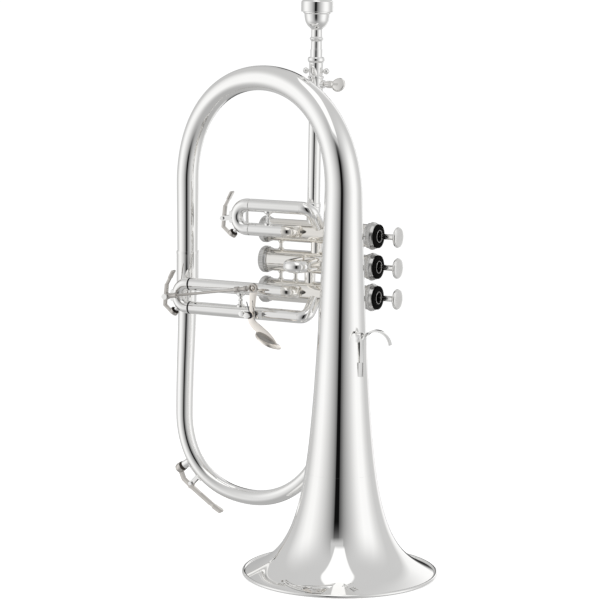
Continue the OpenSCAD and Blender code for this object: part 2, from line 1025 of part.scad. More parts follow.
// Turned post between the two sleeves of a slide.
module leg_brace(x, z) {
  z0 = z + 3;
  z1 = z + leg_pitch - 3;
  mid = (z0 + z1) / 2;
  color(silver)
    difference() {
      turned_z(x, slide_y, [
        [0, z0],
        [3.3, z0],
        [3.3, z0 + 2.6],
        [1.7, z0 + 3.6],
        [1.4, mid - 1],
        [2, mid],
        [1.4, mid + 1],
        [1.7, z1 - 3.6],
        [3.3, z1 - 2.6],
        [3.3, z1],
        [0, z1]
      ]);
      rod([x - 9, slide_y, z], [x + 9, slide_y, z], sleeve_od);
      rod([x - 9, slide_y, z + leg_pitch], [x + 9, slide_y, z + leg_pitch], sleeve_od);
    }
}

module slide1_brace() {
  leg_brace(-80.8, slide1_z);
}

module slide3_brace() {
  leg_brace(-105.7, slide3_z);
}

key_pivot = [-21.5, -2];
nipple_angle = 226;

// The bend of a crook in the X-Z plane, opening toward +X.
module crook_bend(xc, zc, profile_od, profile_id) {
  translate([xc, slide_y, zc])
    rotate([90, 0, 0])
      rotate([0, 0, 90])
        rotate_extrude(angle = 180)
          translate([bend_r, 0])
            ring2d(profile_od, profile_id);
}

// Slide crook in the X-Z plane: U bend, collars, inner legs, pull post, key post.
module crook(xc, z, gap, up_end, low_end, bumper) {
  zc = z + bend_r;
  leg_od = sleeve_id - 2 * fit;
  face = gap - 0.3 - bumper;
  wall_mid = (sleeve_od + leg_id) / 2;
  ends = [low_end, up_end];
  color(silver) {
    crook_bend(xc, zc, sleeve_od, leg_id);
    for (i = [0, 1])
      turned_x(slide_y, z + i * leg_pitch, [
        [xc, leg_id / 2],
        [xc, sleeve_od / 2],
        [face - 0.2, sleeve_od / 2],
        [face, sleeve_od / 2 - 0.2],
        [face, leg_od / 2],
        [ends[i], leg_od / 2],
        [ends[i], leg_id / 2]
      ]);
    difference() {
      union() {
        rod([xc - 0.3, slide_y, z + 3], [xc - 0.3, slide_y, z + leg_pitch - 3], 2.4);
        key_post(xc, zc);
      }
      for (i = [0, 1])
        rod([xc - 0.5, slide_y, z + i * leg_pitch], [xc + 5, slide_y, z + i * leg_pitch], wall_mid);
      crook_bend(xc, zc, wall_mid, 0.1);
    }
    // nipple of the water key
    translate([xc, slide_y, zc])
      rotate([0, -nipple_angle, 0])
        pipe([bend_r + 4.65, 0, 0], [bend_r + 7.3, 0, 0], 3.6, 1.8);
  }
}

// Two ears and a pin that carry a water key, on the outside of a crook.
module key_post(xc, zc) {
  p = [xc + key_pivot[0], zc + key_pivot[1]];
  for (s = [-1, 1])
    plate_xz(slide_y + s * 2.6 - 0.6, 1.2) {
      bar2d(p, [xc - bend_r - 2, zc - 1], 4);
      bar2d([xc - bend_r - 4.2, zc - 4], [xc - bend_r - 4.2, zc + 3], 2.6);
    }
  rod([p[0], slide_y - 3.9, p[1]], [p[0], slide_y + 3.9, p[1]], 1.6);
  rod([p[0], slide_y - 4.5, p[1]], [p[0], slide_y - 3.1, p[1]], 3);
}

// Lever of a slide water key: thumb spoon, hub and cork cup.
module key_lever(xc, z) {
  zc = z + bend_r;
  c = [xc, zc];
  p = c + key_pivot;
  cup_c = c + 19.6 * [cos(nipple_angle), sin(nipple_angle)];
  color(silver) {
    difference() {
      union() {
        plate_xz(slide_y - 1.5, 3) {
          translate(p)
            circle(d = 4.4);
          bar2d(p, p + [-0.6, -7], 2.2);
          bar2d(p + [-0.6, -7], cup_c + [-1.4, -0.9], 2);
          bar2d(p, p + [1, 9.5], 2.4);
          bar2d(p + [1, 9.5], p + [7.2, 21], 1.7);
        }
        plate_xz(slide_y - 2.6, 5.2)
          bar2d(p + [4.4, 15.8], p + [7.2, 21], 1.6);
        translate([cup_c[0], slide_y, cup_c[1]])
          rotate([0, 90 - nipple_angle, 0])
            translate([0, 0, -0.4])
              cylinder(h = 1.5, d = 7.4);
        translate([cup_c[0], slide_y, cup_c[1]])
          rotate([0, 90 - nipple_angle, 0])
            difference() {
              translate([0, 0, -1.6])
                cylinder(h = 1.7, d = 7.4);
              translate([0, 0, -2])
                cylinder(h = 3, d = 6.4);
            }
      }
      rod([p[0], slide_y - 9, p[1]], [p[0], slide_y + 9, p[1]], 1.6 + 2 * fit);
    }
  }
}

// Cork that seals the nipple, seated in its cup.
module key_cork(xc, z) {
  zc = z + bend_r;
  cup_r = 19.6;
  color(black)
    translate([xc, slide_y, zc])
      rotate([0, 90 - nipple_angle, 0])
        translate([0, 0, cup_r - 2.2])
          cylinder(h = 1.8, d = 6.3);
}

module slide1_crook() {
  crook(crook1_x, slide1_z, gap1_x, elbow1_up_start - 4, elbow1_low_start - 3, 0);
}

module slide1_key_lever() {
  key_lever(crook1_x, slide1_z);
}

module slide1_key_cork() {
  key_cork(crook1_x, slide1_z);
}

bumper_w = 0.9;

module slide3_crook() {
  x = rod_left[0];
  z = rod_left[1];
  crook(crook3_x, slide3_z, gap3_x, elbow3_up_start - 30, elbow3_low_start - 40, bumper_w);
  // stud for the linkage rod, with its retaining head
  color(silver) {
    rod([x, slide_y - 4.4, z], [x, rod_y - 3.2, z], 2.4);
    rod([x, rod_y - 2.4, z], [x, rod_y - 4, z], 4.6);
    rod([x, slide_y - 4, z], [x, rod_y + 2.3, z], 4);
  }
}

// Rubber rings between the crook collars and the sleeves.
module slide3_bumpers() {
  color(black)
    for (s = [0, 1])
      turned_x(slide_y, slide3_z + s * leg_pitch, [
        [gap3_x - 0.27 - bumper_w, sleeve_id / 2 + fit],
        [gap3_x - 0.27 - bumper_w, sleeve_od / 2],
        [gap3_x - 0.3, sleeve_od / 2],
        [gap3_x - 0.3, sleeve_id / 2 + fit]
      ]);
}

module slide3_key_lever() {
  key_lever(crook3_x, slide3_z);
}

module slide3_key_cork() {
  key_cork(crook3_x, slide3_z);
}

// ---------- second slide ----------

slide2_gap_y = 21;
slide2_bend_y = slide2_gap_y - 1.6;
slide2_leg_od = 8.6;

module slide2_sleeves() {
  color(silver)
    for (s = [-1, 1])
      difference() {
        pipe([slide2_x + s * slide2_pitch / 2, slide2_gap_y, valve_z],
          [slide2_x + s * slide2_pitch / 2, block_y - 5, valve_z], slide2_od, slide2_leg_od + 2 * fit);
        casing_space(valve_z);
      }
}

module slide2_crook() {
  r = slide2_pitch / 2;
  tip = 35;
  bore = 7.6;
  color(silver) {
    translate([slide2_x, slide2_bend_y, valve_z])
      rotate([0, 0, 180])
        rotate_extrude(angle = 180)
          translate([r, 0])
            ring2d(slide2_od, bore);
    for (s = [-1, 1])
      translate([slide2_x + s * r, 0, valve_z])
        rotate([-90, 0, 0])
          rotate_extrude()
            polygon([
              [bore / 2, slide2_bend_y],
              [slide2_od / 2, slide2_bend_y],
              [slide2_od / 2, slide2_gap_y - 0.3],
              [slide2_leg_od / 2, slide2_gap_y - 0.3],
              [slide2_leg_od / 2, tip],
              [bore / 2, tip]
            ]);
  }
}

// ---------- third slide trigger ----------

lever_y = 14.9;
lever_t = 1.4;
ball_at = [3.1, 21.9];
pin_d = 2.2;

// Saddle on the lower sleeve with the hinge pin and the stop post beside it.
module trigger_bracket() {
  stop_x = hinge_x - 8.6;
  color(silver)
    difference() {
      union() {
        translate([hinge_x - 11.6, slide_y - 7.4, hinge_z - 3.2])
          cube([18.6, 5, 5.6]);
        rod([hinge_x, 20.4, hinge_z], [hinge_x, slide_y - 5, hinge_z], 5.4);
        // hinge pin and its slotted head
        rod([hinge_x, 8.4, hinge_z], [hinge_x, 21, hinge_z], pin_d);
        rod([hinge_x, 7.4, hinge_z], [hinge_x, 9.2, hinge_z], 5);
        // stop post
        rod([stop_x, 15.2, hinge_z], [stop_x, 20.8, hinge_z], 3);
        rod([stop_x, 14, hinge_z], [stop_x, 15.8, hinge_z], 4.4);
      }
      rod([hinge_x - 14, slide_y, slide3_z], [hinge_x + 9, slide_y, slide3_z], sleeve_od);
      translate([hinge_x - 3, 7, hinge_z - 0.4])
        cube([6, 1, 0.8]);
    }
}

blade_tip = [23.9, -22.6];
pad_at = [4.6, -13.4];
pad_angle = 25.5;
pad_w = 1.3;
pad_tip = [25.8, -0.5];

// Flat lever: tapered upper arm, hub, and a leaf shaped lower arm.
module lever_outline() {
  circle(d = 6.4);
  polygon([[-1.2, 1], [-1.3, 17.4], [4.7, 17.4], [2.5, 1]]);
  bar2d([1.9, 16], ball_at, 5.2);
  polygon(concat(
    curve([1.8, -1], [2.5, -8], [17, -9], blade_tip, 12),
    curve(blade_tip + [-0.4, -0.2], [16, -15.5], [-2.5, -16], [-3, -1], 12)
  ));
}

// Bell crank: ball stud at the top, finger pad at the bottom.
module trigger_lever() {
  color(silver)
    difference() {
      union() {
        translate([hinge_x, 0, hinge_z])
          plate_xz(lever_y, lever_t)
            lever_outline();
        rod([hinge_x, 12.8, hinge_z], [hinge_x, lever_y + lever_t + 0.6, hinge_z], 5);
        // ball stud
        rod([hinge_x + ball_at[0], rod_y, hinge_z + ball_at[1]],
          [hinge_x + ball_at[0], lever_y + 0.5, hinge_z + ball_at[1]], 1.8);
        translate([hinge_x + ball_at[0], rod_y, hinge_z + ball_at[1]])
          sphere(d = 3.4);
        translate([hinge_x + pad_at[0], lever_y, hinge_z + pad_at[1]])
          rotate([0, pad_angle, 0])
            finger_pad();
      }
      rod([hinge_x, 9, hinge_z], [hinge_x, 22, hinge_z], pin_d + 2 * fit);
    }
}

// Leaf shaped pad in the local X-Y plane, standing forward from the blade.
module finger_pad() {
  translate([0, 0, -pad_w])
    linear_extrude(pad_w)
      polygon(concat(
        curve([0.2, lever_t], [2, -10], [22, -18.5], pad_tip, 16),
        curve(pad_tip + [-0.1, 0.4], [25.2, 3.6], [19, 5.2], [13, lever_t], 8)
      ));
}

// Torsion spring round the hinge pin: close coils on both sides of the lever,
// and a long leg that leans back over its face.
module trigger_spring() {
  wire = 0.8;
  coil_r = 2.5;
  pitch = 0.74;
  front_y = 9.9;
  back_y = 17.4;
  color(black) {
    spring_coils(front_y, 4, coil_r, wire, pitch);
    spring_coils(back_y, 3, coil_r, wire, pitch);
    rod([hinge_x + coil_r - 0.1, front_y, hinge_z], [hinge_x - 1, front_y, hinge_z + 11.2], wire - 0.12);
  }
}

// Close wound turns about the hinge, as one solid of touching rings.
module spring_coils(y0, turns, coil_r, wire, pitch) {
  translate([hinge_x, y0, hinge_z])
    rotate([-90, 0, 0])
      rotate_extrude()
        for (i = [0:turns - 1])
          translate([coil_r, pitch * i])
            circle(d = wire, $fn = 24);
}

rod_left = [-166.5, 204.2];

// Linkage: socket round the lever ball, adjusting nuts, rod, and clevis on the crook.
module linkage_rod() {
  right = [hinge_x + ball_at[0], rod_y, hinge_z + ball_at[1]];
  left = [rod_left[0], rod_y, rod_left[1]];
  u = unit(right - left);
  color(nickel)
    difference() {
      union() {
        rod(left, right - u * 3.4, rod_d);
        rod(left + u * 1, left + u * 8.4, 3.6);
        rod(left + u * 8.4, left + u * 10, 4.8);
        rod(right - u * 16.6, right - u * 13, 4.8);
        rod(right - u * 13.4, right - u * 7.6, 3.4);
        rod(right - u * 8.2, right - u * 5.6, 4.6);
        rod(right - u * 5.8, right - u * 3.1, 3);
        rod([right[0], rod_y - 1.2, right[2]], [right[0], rod_y + 1.2, right[2]], 7.6);
        rod([left[0], rod_y - 1.9, left[2]], [left[0], rod_y + 1.9, left[2]], 5.4);
      }
      rod([right[0], rod_y - 3, right[2]], [right[0], rod_y + 3, right[2]], 5.2);
      rod([left[0], rod_y - 3, left[2]], [left[0], rod_y + 3, left[2]], 2.4 + 2 * fit);
    }
}

// ---------- bottom bow water key ----------

bow_key_y = block_y + 0.1;
bow_centre = [(bottom_left_x + outlet_x) / 2, bottom_z];
bow_key_pivot = bow_centre + 82 * [cos(225.8), sin(225.8)];
bow_nipple_angle = 214.5;
bow_nipple_r = 78.6;
bow_key_ring_r = 66.75;

function bow_at(r, a) = bow_centre + r * [cos(a), sin(a)];

// Places children on the bow at an angle, local Z pointing outward from radius r.
module on_bow(r, a) {
  p = bow_at(r, a);
  translate([p[0], bow_key_y, p[1]])
    rotate([0, 90 - a, 0])
      children();
}

// Saddle with two ears and a pin, and the nipple beside it.
module bow_key_saddle() {
  p = bow_key_pivot;
  tube_r = 6.6;
  color(silver)
    difference() {
      union() {
        for (s = [-1, 1])
          plate_xz(bow_key_y + s * 2.5 - 0.5, 1) {
            bar2d(p, bow_at(71, 225.8), 3.4);
            bar2d(bow_at(72.9, 214), bow_at(72.6, 229), 2.6);
          }
        rod([p[0], bow_key_y - 4.4, p[1]], [p[0], bow_key_y + 4.4, p[1]], 1.6);
        rod([p[0], bow_key_y - 4.6, p[1]], [p[0], bow_key_y - 3, p[1]], 3);
        on_bow(71, bow_nipple_angle)
          cylinder(h = bow_nipple_r - 71, d = 7);
      }
      on_bow(60, bow_nipple_angle)
        cylinder(h = 20, d = 2.4);
      bow_space(tube_r);
    }
}

// The space of the bow tube at the key, used to seat the saddle and nipple.
module bow_space(r) {
  translate([bow_centre[0], bow_key_y - 0.05, bow_centre[1]])
    rotate([90, 0, 0])
      rotate([0, 0, 205])
        rotate_extrude(angle = 32, $fn = 200)
          translate([bow_key_ring_r, 0])
            circle(r = r + 0.1);
}

// Lever with its cup: a slim curved arm that ends in a small spoon.
module bow_key_lever() {
  p = bow_key_pivot;
  arm = [[84.6, 216.2], [86.4, 220.8], [85, 226.5], [83.9, 234], [84.1, 241.5]];
  tip = [85.2, 249.4];
  color(silver)
    difference() {
      union() {
        plate_xz(bow_key_y - 1.5, 3) {
          translate(p)
            circle(d = 4.4);
          bar2d(p, bow_at(85, 226.5), 4.4);
          for (i = [0:3])
            bar2d(bow_at(arm[i][0], arm[i][1]), bow_at(arm[i + 1][0], arm[i + 1][1]), 3.2);
          bar2d(bow_at(arm[4][0], arm[4][1]), bow_at(tip[0], tip[1]), 2.8);
        }
        plate_xz(bow_key_y - 2.9, 5.8)
          bar2d(bow_at(84.6, 245), bow_at(tip[0], tip[1]), 2.4);
        on_bow(bow_nipple_r + 2.4, bow_nipple_angle)
          rotate_extrude()
            polygon([[0, 0], [4.2, 0], [4.2, 3.2], [3.7, 4.8], [2.5, 5.8], [0, 6.1]]);
      }
      rod([p[0], bow_key_y - 9, p[1]], [p[0], bow_key_y + 9, p[1]], 1.6 + 2 * fit);
    }
}

module bow_key_cork() {
  color(black)
    on_bow(bow_nipple_r + 0.35, bow_nipple_angle)
      cylinder(h = 2.05, d = 7.6);
}

// ---------- finger hook ----------

hook_y = -5.2;

// Part of a round strip bend about the local Z axis.
module strip_bend(r, w, t, from, sweep) {
  rotate([0, 0, from])
    rotate_extrude(angle = sweep)
      translate([r - t / 2, -w / 2])
        square([t, w]);
}

// Two-armed hook: a foot on the bell, a long arm outward and a short curl forward.
module finger_hook() {
  w = 4;
  t = 1.7;
  foot_x = 20.2;
  fork_z = 186;
  arm_r = 11.4;
  curl_r = 5.2;
  color(silver)
    difference() {
      union() {
        translate([foot_x - 0.9, hook_y - w / 2, 158])
          cube([3.2, w, fork_z - 158 + 1]);
        translate([foot_x - 1.5, hook_y - 3.4, 158])
          cube([3, 6.8, 11]);
        translate([foot_x + 0.85 + arm_r, hook_y, fork_z - 3.2])
          rotate([90, 0, 0])
            strip_bend(arm_r, w, t, 6, 168);
        translate([foot_x + 0.9, hook_y - curl_r, fork_z + 1])
          rotate([0, 0, -90])
            rotate([90, 0, 0])
              strip_bend(curl_r, 3.2, t, -10, 190);
      }
      translate([0, 0, 150])
        cylinder(h = 60, r1 = flare(150) + 0.02, r2 = flare(210) + 0.02, $fn = 128);
    }
}

// Stays between the bell and the first and third casings.
module bell_braces() {
  x = -9;
  color(silver)
    for (z = [valve_z3, valve_z1])
      difference() {
        translate([x, 0, z])
          rotate([-90, 0, 0])
            rotate_extrude()
              polygon([
                [0, 10],
                [4, 10],
                [4, 16.5],
                [2, 18.6],
                [2, 32.6],
                [4, 34.8],
                [4, 40],
                [0, 40]
              ]);
        casing_space(z);
        translate([0, 0, z - 20])
          cylinder(h = 40, r1 = flare(z - 20) + 0.1, r2 = flare(z + 20) + 0.1, $fn = 128);
      }
}

bell_flare();
bell_throat();
rim_wire();
bell_bow();
bow_ferrule();
bottom_bow();
outlet_knuckle();
leadpipe();
leadpipe_sleeve();
clamp_screw();
receiver();
mouthpiece();
casing_1();
casing_2();
casing_3();
casing_braces();
crossovers();
bottom_cap_1();
bottom_cap_2();
bottom_cap_3();
top_cap_1();
top_cap_2();
top_cap_3();
cap_felt_1();
cap_felt_2();
cap_felt_3();
piston_1();
piston_2();
piston_3();
button_1();
button_2();
button_3();
slide1_elbow_upper();
slide1_elbow_lower();
slide1_sleeve_upper();
slide1_sleeve_lower();
slide1_brace();
slide1_crook();
slide1_key_lever();
slide1_key_cork();
slide3_elbow_upper();
slide3_elbow_lower();
slide3_sleeve_upper();
slide3_sleeve_lower();
slide3_brace();
slide3_crook();
slide3_bumpers();
slide3_key_lever();
slide3_key_cork();
slide2_sleeves();
slide2_crook();
trigger_bracket();
trigger_lever();
trigger_spring();
linkage_rod();
bow_key_saddle();
bow_key_lever();
bow_key_cork();
finger_hook();
bell_braces();
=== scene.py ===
import json
import math

import bmesh
import bpy
from mathutils import Matrix, Vector


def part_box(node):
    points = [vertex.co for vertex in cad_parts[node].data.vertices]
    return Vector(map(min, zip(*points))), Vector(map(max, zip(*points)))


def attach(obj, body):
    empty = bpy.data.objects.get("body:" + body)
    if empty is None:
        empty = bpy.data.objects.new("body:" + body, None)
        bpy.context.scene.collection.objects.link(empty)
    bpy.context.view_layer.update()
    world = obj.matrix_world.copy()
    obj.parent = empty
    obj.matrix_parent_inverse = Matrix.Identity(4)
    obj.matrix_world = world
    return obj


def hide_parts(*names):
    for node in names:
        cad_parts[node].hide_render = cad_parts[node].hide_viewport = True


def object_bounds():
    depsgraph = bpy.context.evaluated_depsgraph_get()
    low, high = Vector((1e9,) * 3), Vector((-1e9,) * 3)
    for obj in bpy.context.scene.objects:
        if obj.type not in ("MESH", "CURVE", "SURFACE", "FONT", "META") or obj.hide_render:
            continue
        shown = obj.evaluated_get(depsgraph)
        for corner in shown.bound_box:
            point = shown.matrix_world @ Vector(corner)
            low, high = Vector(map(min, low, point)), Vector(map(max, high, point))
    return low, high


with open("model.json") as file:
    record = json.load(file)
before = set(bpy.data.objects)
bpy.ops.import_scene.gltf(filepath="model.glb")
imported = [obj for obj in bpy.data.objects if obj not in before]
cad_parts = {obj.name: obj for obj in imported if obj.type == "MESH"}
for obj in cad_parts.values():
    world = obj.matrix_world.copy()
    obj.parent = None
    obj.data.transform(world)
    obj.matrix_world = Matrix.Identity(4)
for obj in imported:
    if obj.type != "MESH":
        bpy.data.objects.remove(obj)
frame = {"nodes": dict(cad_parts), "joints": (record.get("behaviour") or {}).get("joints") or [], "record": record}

cad_low, cad_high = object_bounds()

MM = 0.001
TAU = 2 * math.pi


# ---------------------------------------------------------------- mesh helpers

def add_mesh(name, verts, faces, material, sharp_deg=35):
    """A smooth shaded mesh object, with its real corners kept sharp."""
    mesh = bpy.data.meshes.new(name)
    mesh.from_pydata([tuple(v) for v in verts], [], faces)
    bm = bmesh.new()
    bm.from_mesh(mesh)
    bmesh.ops.remove_doubles(bm, verts=bm.verts, dist=0.0000001)
    bmesh.ops.dissolve_degenerate(bm, edges=bm.edges, dist=0.0000001)
    bmesh.ops.recalc_face_normals(bm, faces=bm.faces)
    bm.to_mesh(mesh)
    bm.free()
    mesh.shade_smooth()
    mesh.set_sharp_from_angle(angle=math.radians(sharp_deg))
    mesh.materials.append(material)
    obj = bpy.data.objects.new(name, mesh)
    bpy.context.scene.collection.objects.link(obj)
    return obj


def stitch(rings, closed):
    """Quads between rings of equal length, and on from the last ring to the first when closed."""
    count = len(rings[0])
    verts = [v for ring in rings for v in ring]
    faces = []
    last = len(rings) if closed else len(rings) - 1
    for i in range(last):
        a = i * count
        b = (i + 1) % len(rings) * count
        for k in range(count):
            n = (k + 1) % count
            faces.append((a + k, a + n, b + n, b + k))
    return verts, faces


def turned(outline, centre, axis, segments=160, teeth=0, depth=0.0):
    """Vertices and faces of a closed outline of (radius, height) points turned about an axis.

    A point with a third value of 1 belongs to a knurled band, cut by the given teeth.
    """
    axis = Vector(axis).normalized()
    side = axis.orthogonal().normalized()
    other = axis.cross(side)
    if teeth:
        segments = teeth * 8
    rings = []
    for radius, height, *cut in outline:
        ring = []
        for k in range(segments):
            angle = TAU * k / segments
            r = radius - (depth * (0.5 - 0.5 * math.cos(teeth * angle)) if cut and cut[0] else 0)
            outward = math.cos(angle) * side + math.sin(angle) * other
            ring.append(Vector(centre) + axis * height + r * outward)
        rings.append(ring)
    return stitch(rings, True)


def joined(name, parts, material, sharp_deg=35):
    """One mesh from several lists of vertices and faces."""
    verts, faces = [], []
    for part_verts, part_faces in parts:
        start = len(verts)
        verts += part_verts
        faces += [tuple(start + k for k in face) for face in part_faces]
    return add_mesh(name, verts, faces, material, sharp_deg)


def lathe(name, outline, centre, axis, material, segments=160, teeth=0, depth=0.0, sharp_deg=35):
    """One turned piece."""
    return joined(name, [turned(outline, centre, axis, segments, teeth, depth)], material, sharp_deg)


def rounded(points, steps=5):
    """A smooth run through given points of an outline."""
    result = []
    for i in range(len(points) - 1):
        a, b, c, d = (Vector(points[min(max(i + k, 0), len(points) - 1)]) for k in (-1, 0, 1, 2))
        for n in range(steps):
            t = n / steps
            square = (2 * a - 5 * b + 4 * c - d) * t * t
            cube = (3 * b - a - 3 * c + d) * t ** 3
            result.append(tuple(0.5 * (2 * b + (c - a) * t + square + cube)))
    return result + [tuple(points[-1])]


def millimetres(outline):
    """An outline in millimetres, in metres."""
    return [(p[0] * MM, p[1] * MM, *p[2:]) for p in outline]


def joint(name):
    """The frame's entry for a joint."""
    return next(j for j in frame["joints"] if j["name"] == name)


def middle(node):
    """The middle of a CAD node's box."""
    low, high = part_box(node)
    return (low + high) / 2


def stands_for(piece, node, body):
    """Puts a finished piece in the place of a CAD node."""
    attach(piece, body)
    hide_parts(node)


def tube(name, path, radii, wall, material, sides=96):
    """A hollow tube along a path, with its own radius at each point."""
    last = len(path) - 1
    tangents = [(path[min(i + 1, last)] - path[max(i - 1, 0)]).normalized() for i in range(last + 1)]
    level = tangents[0].orthogonal().normalized()
    frames = []
    for t in tangents:
        level = (level - t * level.dot(t)).normalized()
        frames.append((level.copy(), t.cross(level)))

    def ring(i, radius):
        p, q = frames[i]
        return [
            path[i] + radius * (math.cos(TAU * k / sides) * p + math.sin(TAU * k / sides) * q)
            for k in range(sides)
        ]

    rings = [ring(i, radii[i]) for i in range(last + 1)]
    rings += [ring(i, radii[i] - wall) for i in range(last, -1, -1)]
    verts, faces = stitch(rings, True)
    return add_mesh(name, verts, faces, material)


def wire_data(path, radius, sides=12):
    """Vertices and faces of a solid round wire along a path, with domed ends."""
    last = len(path) - 1
    tangents = [(path[min(i + 1, last)] - path[max(i - 1, 0)]).normalized() for i in range(last + 1)]
    level = tangents[0].orthogonal().normalized()
    rings = []
    for i, t in enumerate(tangents):
        level = (level - t * level.dot(t)).normalized()
        other = t.cross(level)
        rings.append([
            path[i] + radius * (math.cos(TAU * k / sides) * level + math.sin(TAU * k / sides) * other)
            for k in range(sides)
        ])
    verts, faces = stitch(rings, False)
    for end, t, first in ((0, -tangents[0], 0), (last, tangents[-1], last * sides)):
        verts.append(path[end] + t * radius * 0.6)
        tip = len(verts) - 1
        faces += [(first + k, first + (k + 1) % sides, tip) for k in range(sides)]
    return verts, faces


def blurred(values, reach):
    """Moving average, with the ends held."""
    last = len(values) - 1
    return [
        sum(values[min(max(i + k, 0), last)] for k in range(-reach, reach + 1)) / (2 * reach + 1)
        for i in range(last + 1)
    ]


# ---------------------------------------------------------------- materials

def new_material(name, **sockets):
    """A Principled material with its even values set on the shader itself."""
    material = bpy.data.materials.new(name)
    material.use_nodes = True
    shader = material.node_tree.nodes["Principled BSDF"]
    for label, value in sockets.items():
        shader.inputs[label.replace("_", " ")].default_value = value
    return material, material.node_tree, shader


def noise(tree, scale, detail=4.0, roughness=0.6, stretch=(1, 1, 1)):
    """A noise value in the object's own coordinates."""
    coords = tree.nodes.new("ShaderNodeTexCoord")
    mapping = tree.nodes.new("ShaderNodeMapping")
    mapping.inputs["Scale"].default_value = stretch
    texture = tree.nodes.new("ShaderNodeTexNoise")
    texture.inputs["Scale"].default_value = scale
    texture.inputs["Detail"].default_value = detail
    texture.inputs["Roughness"].default_value = roughness
    tree.links.new(coords.outputs["Object"], mapping.inputs["Vector"])
    tree.links.new(mapping.outputs["Vector"], texture.inputs["Vector"])
    return texture.outputs["Fac"]


def spread(tree, value, low, high, start=0.35, stop=0.65):
    """Maps a noise value onto a range."""
    node = tree.nodes.new("ShaderNodeMapRange")
    node.inputs["From Min"].default_value = start
    node.inputs["From Max"].default_value = stop
    node.inputs["To Min"].default_value = low
    node.inputs["To Max"].default_value = high
    tree.links.new(value, node.inputs["Value"])
    return node.outputs["Result"]


def tint(tree, value, colours, stops=(0.35, 0.65)):
    """A colour between two, by a noise value."""
    ramp = tree.nodes.new("ShaderNodeValToRGB")
    for element, stop, colour in zip(ramp.color_ramp.elements, stops, colours):
        element.position = stop
        element.color = (*colour, 1)
    tree.links.new(value, ramp.inputs["Fac"])
    return ramp.outputs["Color"]


def bump(tree, shader, value, distance, strength=1.0):
    """Raises the surface by a value."""
    node = tree.nodes.new("ShaderNodeBump")
    node.inputs["Distance"].default_value = distance
    node.inputs["Strength"].default_value = strength
    tree.links.new(value, node.inputs["Height"])
    tree.links.new(node.outputs["Normal"], shader.inputs["Normal"])


def polished_metal(name, bright, dull, low, high, hairlines=0.0000006):
    """Plated metal: faint tarnish clouds, wiping marks in the gloss, and fine hairlines."""
    material, tree, shader = new_material(name, Metallic=1.0)
    tree.links.new(tint(tree, noise(tree, 14, 3), (dull, bright)), shader.inputs["Base Color"])
    tree.links.new(spread(tree, noise(tree, 60, 6, 0.7), low, high), shader.inputs["Roughness"])
    bump(tree, shader, noise(tree, 900, 2, 0.5, (1, 1, 0.15)), hairlines)
    return material


def satin_metal(name, bright, dull, low, high, stretch):
    """Turned, satin finished metal with fine lines along one direction."""
    material, tree, shader = new_material(name, Metallic=1.0)
    lines = noise(tree, 700, 4, 0.6, stretch)
    tree.links.new(tint(tree, noise(tree, 90, 4), (dull, bright)), shader.inputs["Base Color"])
    tree.links.new(spread(tree, lines, low, high), shader.inputs["Roughness"])
    bump(tree, shader, lines, 0.00002, 0.6)
    return material


silver_plate = polished_metal(
    "silver_plate", (0.965, 0.962, 0.953), (0.945, 0.94, 0.927), 0.008, 0.022)
silver_warm = polished_metal(
    "silver_warm", (0.95, 0.935, 0.905), (0.92, 0.89, 0.84), 0.015, 0.035)
satin_nickel = satin_metal(
    "satin_nickel", (0.67, 0.665, 0.655), (0.59, 0.585, 0.575), 0.12, 0.19, (0.2, 1, 1))
button_satin = satin_metal(
    "button_satin", (0.95, 0.945, 0.93), (0.9, 0.89, 0.87), 0.12, 0.2, (1, 1, 1))
aged_plate = polished_metal(
    "aged_plate", (0.68, 0.655, 0.62), (0.54, 0.515, 0.49), 0.05, 0.1)
polished_nickel = polished_metal(
    "polished_nickel", (0.9, 0.89, 0.87), (0.86, 0.845, 0.82), 0.03, 0.06)
monel = satin_metal(
    "monel_piston", (0.66, 0.64, 0.6), (0.55, 0.53, 0.5), 0.16, 0.3, (1, 0.2, 0.2))
trigger_plate = polished_metal(
    "trigger_plate", (1, 0.955, 0.91), (0.95, 0.9, 0.84), 0.06, 0.14)
pad_plate = satin_metal(
    "trigger_pad", (0.6, 0.59, 0.58), (0.4, 0.39, 0.38), 0.28, 0.45, (1, 1, 1))


def make_spring_steel():
    """Dark blued wire."""
    material, tree, shader = new_material("spring_steel", Metallic=0.9)
    tree.links.new(
        tint(tree, noise(tree, 200, 4), ((0.03, 0.03, 0.035), (0.1, 0.1, 0.11))), shader.inputs["Base Color"])
    tree.links.new(spread(tree, noise(tree, 500, 3), 0.25, 0.45), shader.inputs["Roughness"])
    return material


def make_fibre(name, dark, light, scale, lift, rough, gloss):
    """Felt, cork or rubber: speckled, rough and slightly raised."""
    material, tree, shader = new_material(name, Specular_IOR_Level=gloss)
    grain = noise(tree, scale, 8, 0.75)
    tree.links.new(tint(tree, grain, (dark, light)), shader.inputs["Base Color"])
    tree.links.new(spread(tree, grain, rough - 0.12, rough), shader.inputs["Roughness"])
    bump(tree, shader, grain, lift)
    return material


spring_steel = make_spring_steel()
black_felt = make_fibre(
    "black_felt", (0.002, 0.002, 0.002), (0.008, 0.0075, 0.007), 2200, 0.0001, 0.98, 0.08)
key_cork = make_fibre(
    "key_cork", (0.01, 0.008, 0.006), (0.05, 0.04, 0.03), 1400, 0.0001, 0.9, 0.3)
bumper_rubber = make_fibre(
    "bumper_rubber", (0.006, 0.006, 0.006), (0.02, 0.02, 0.02), 900, 0.00003, 0.55, 0.5)

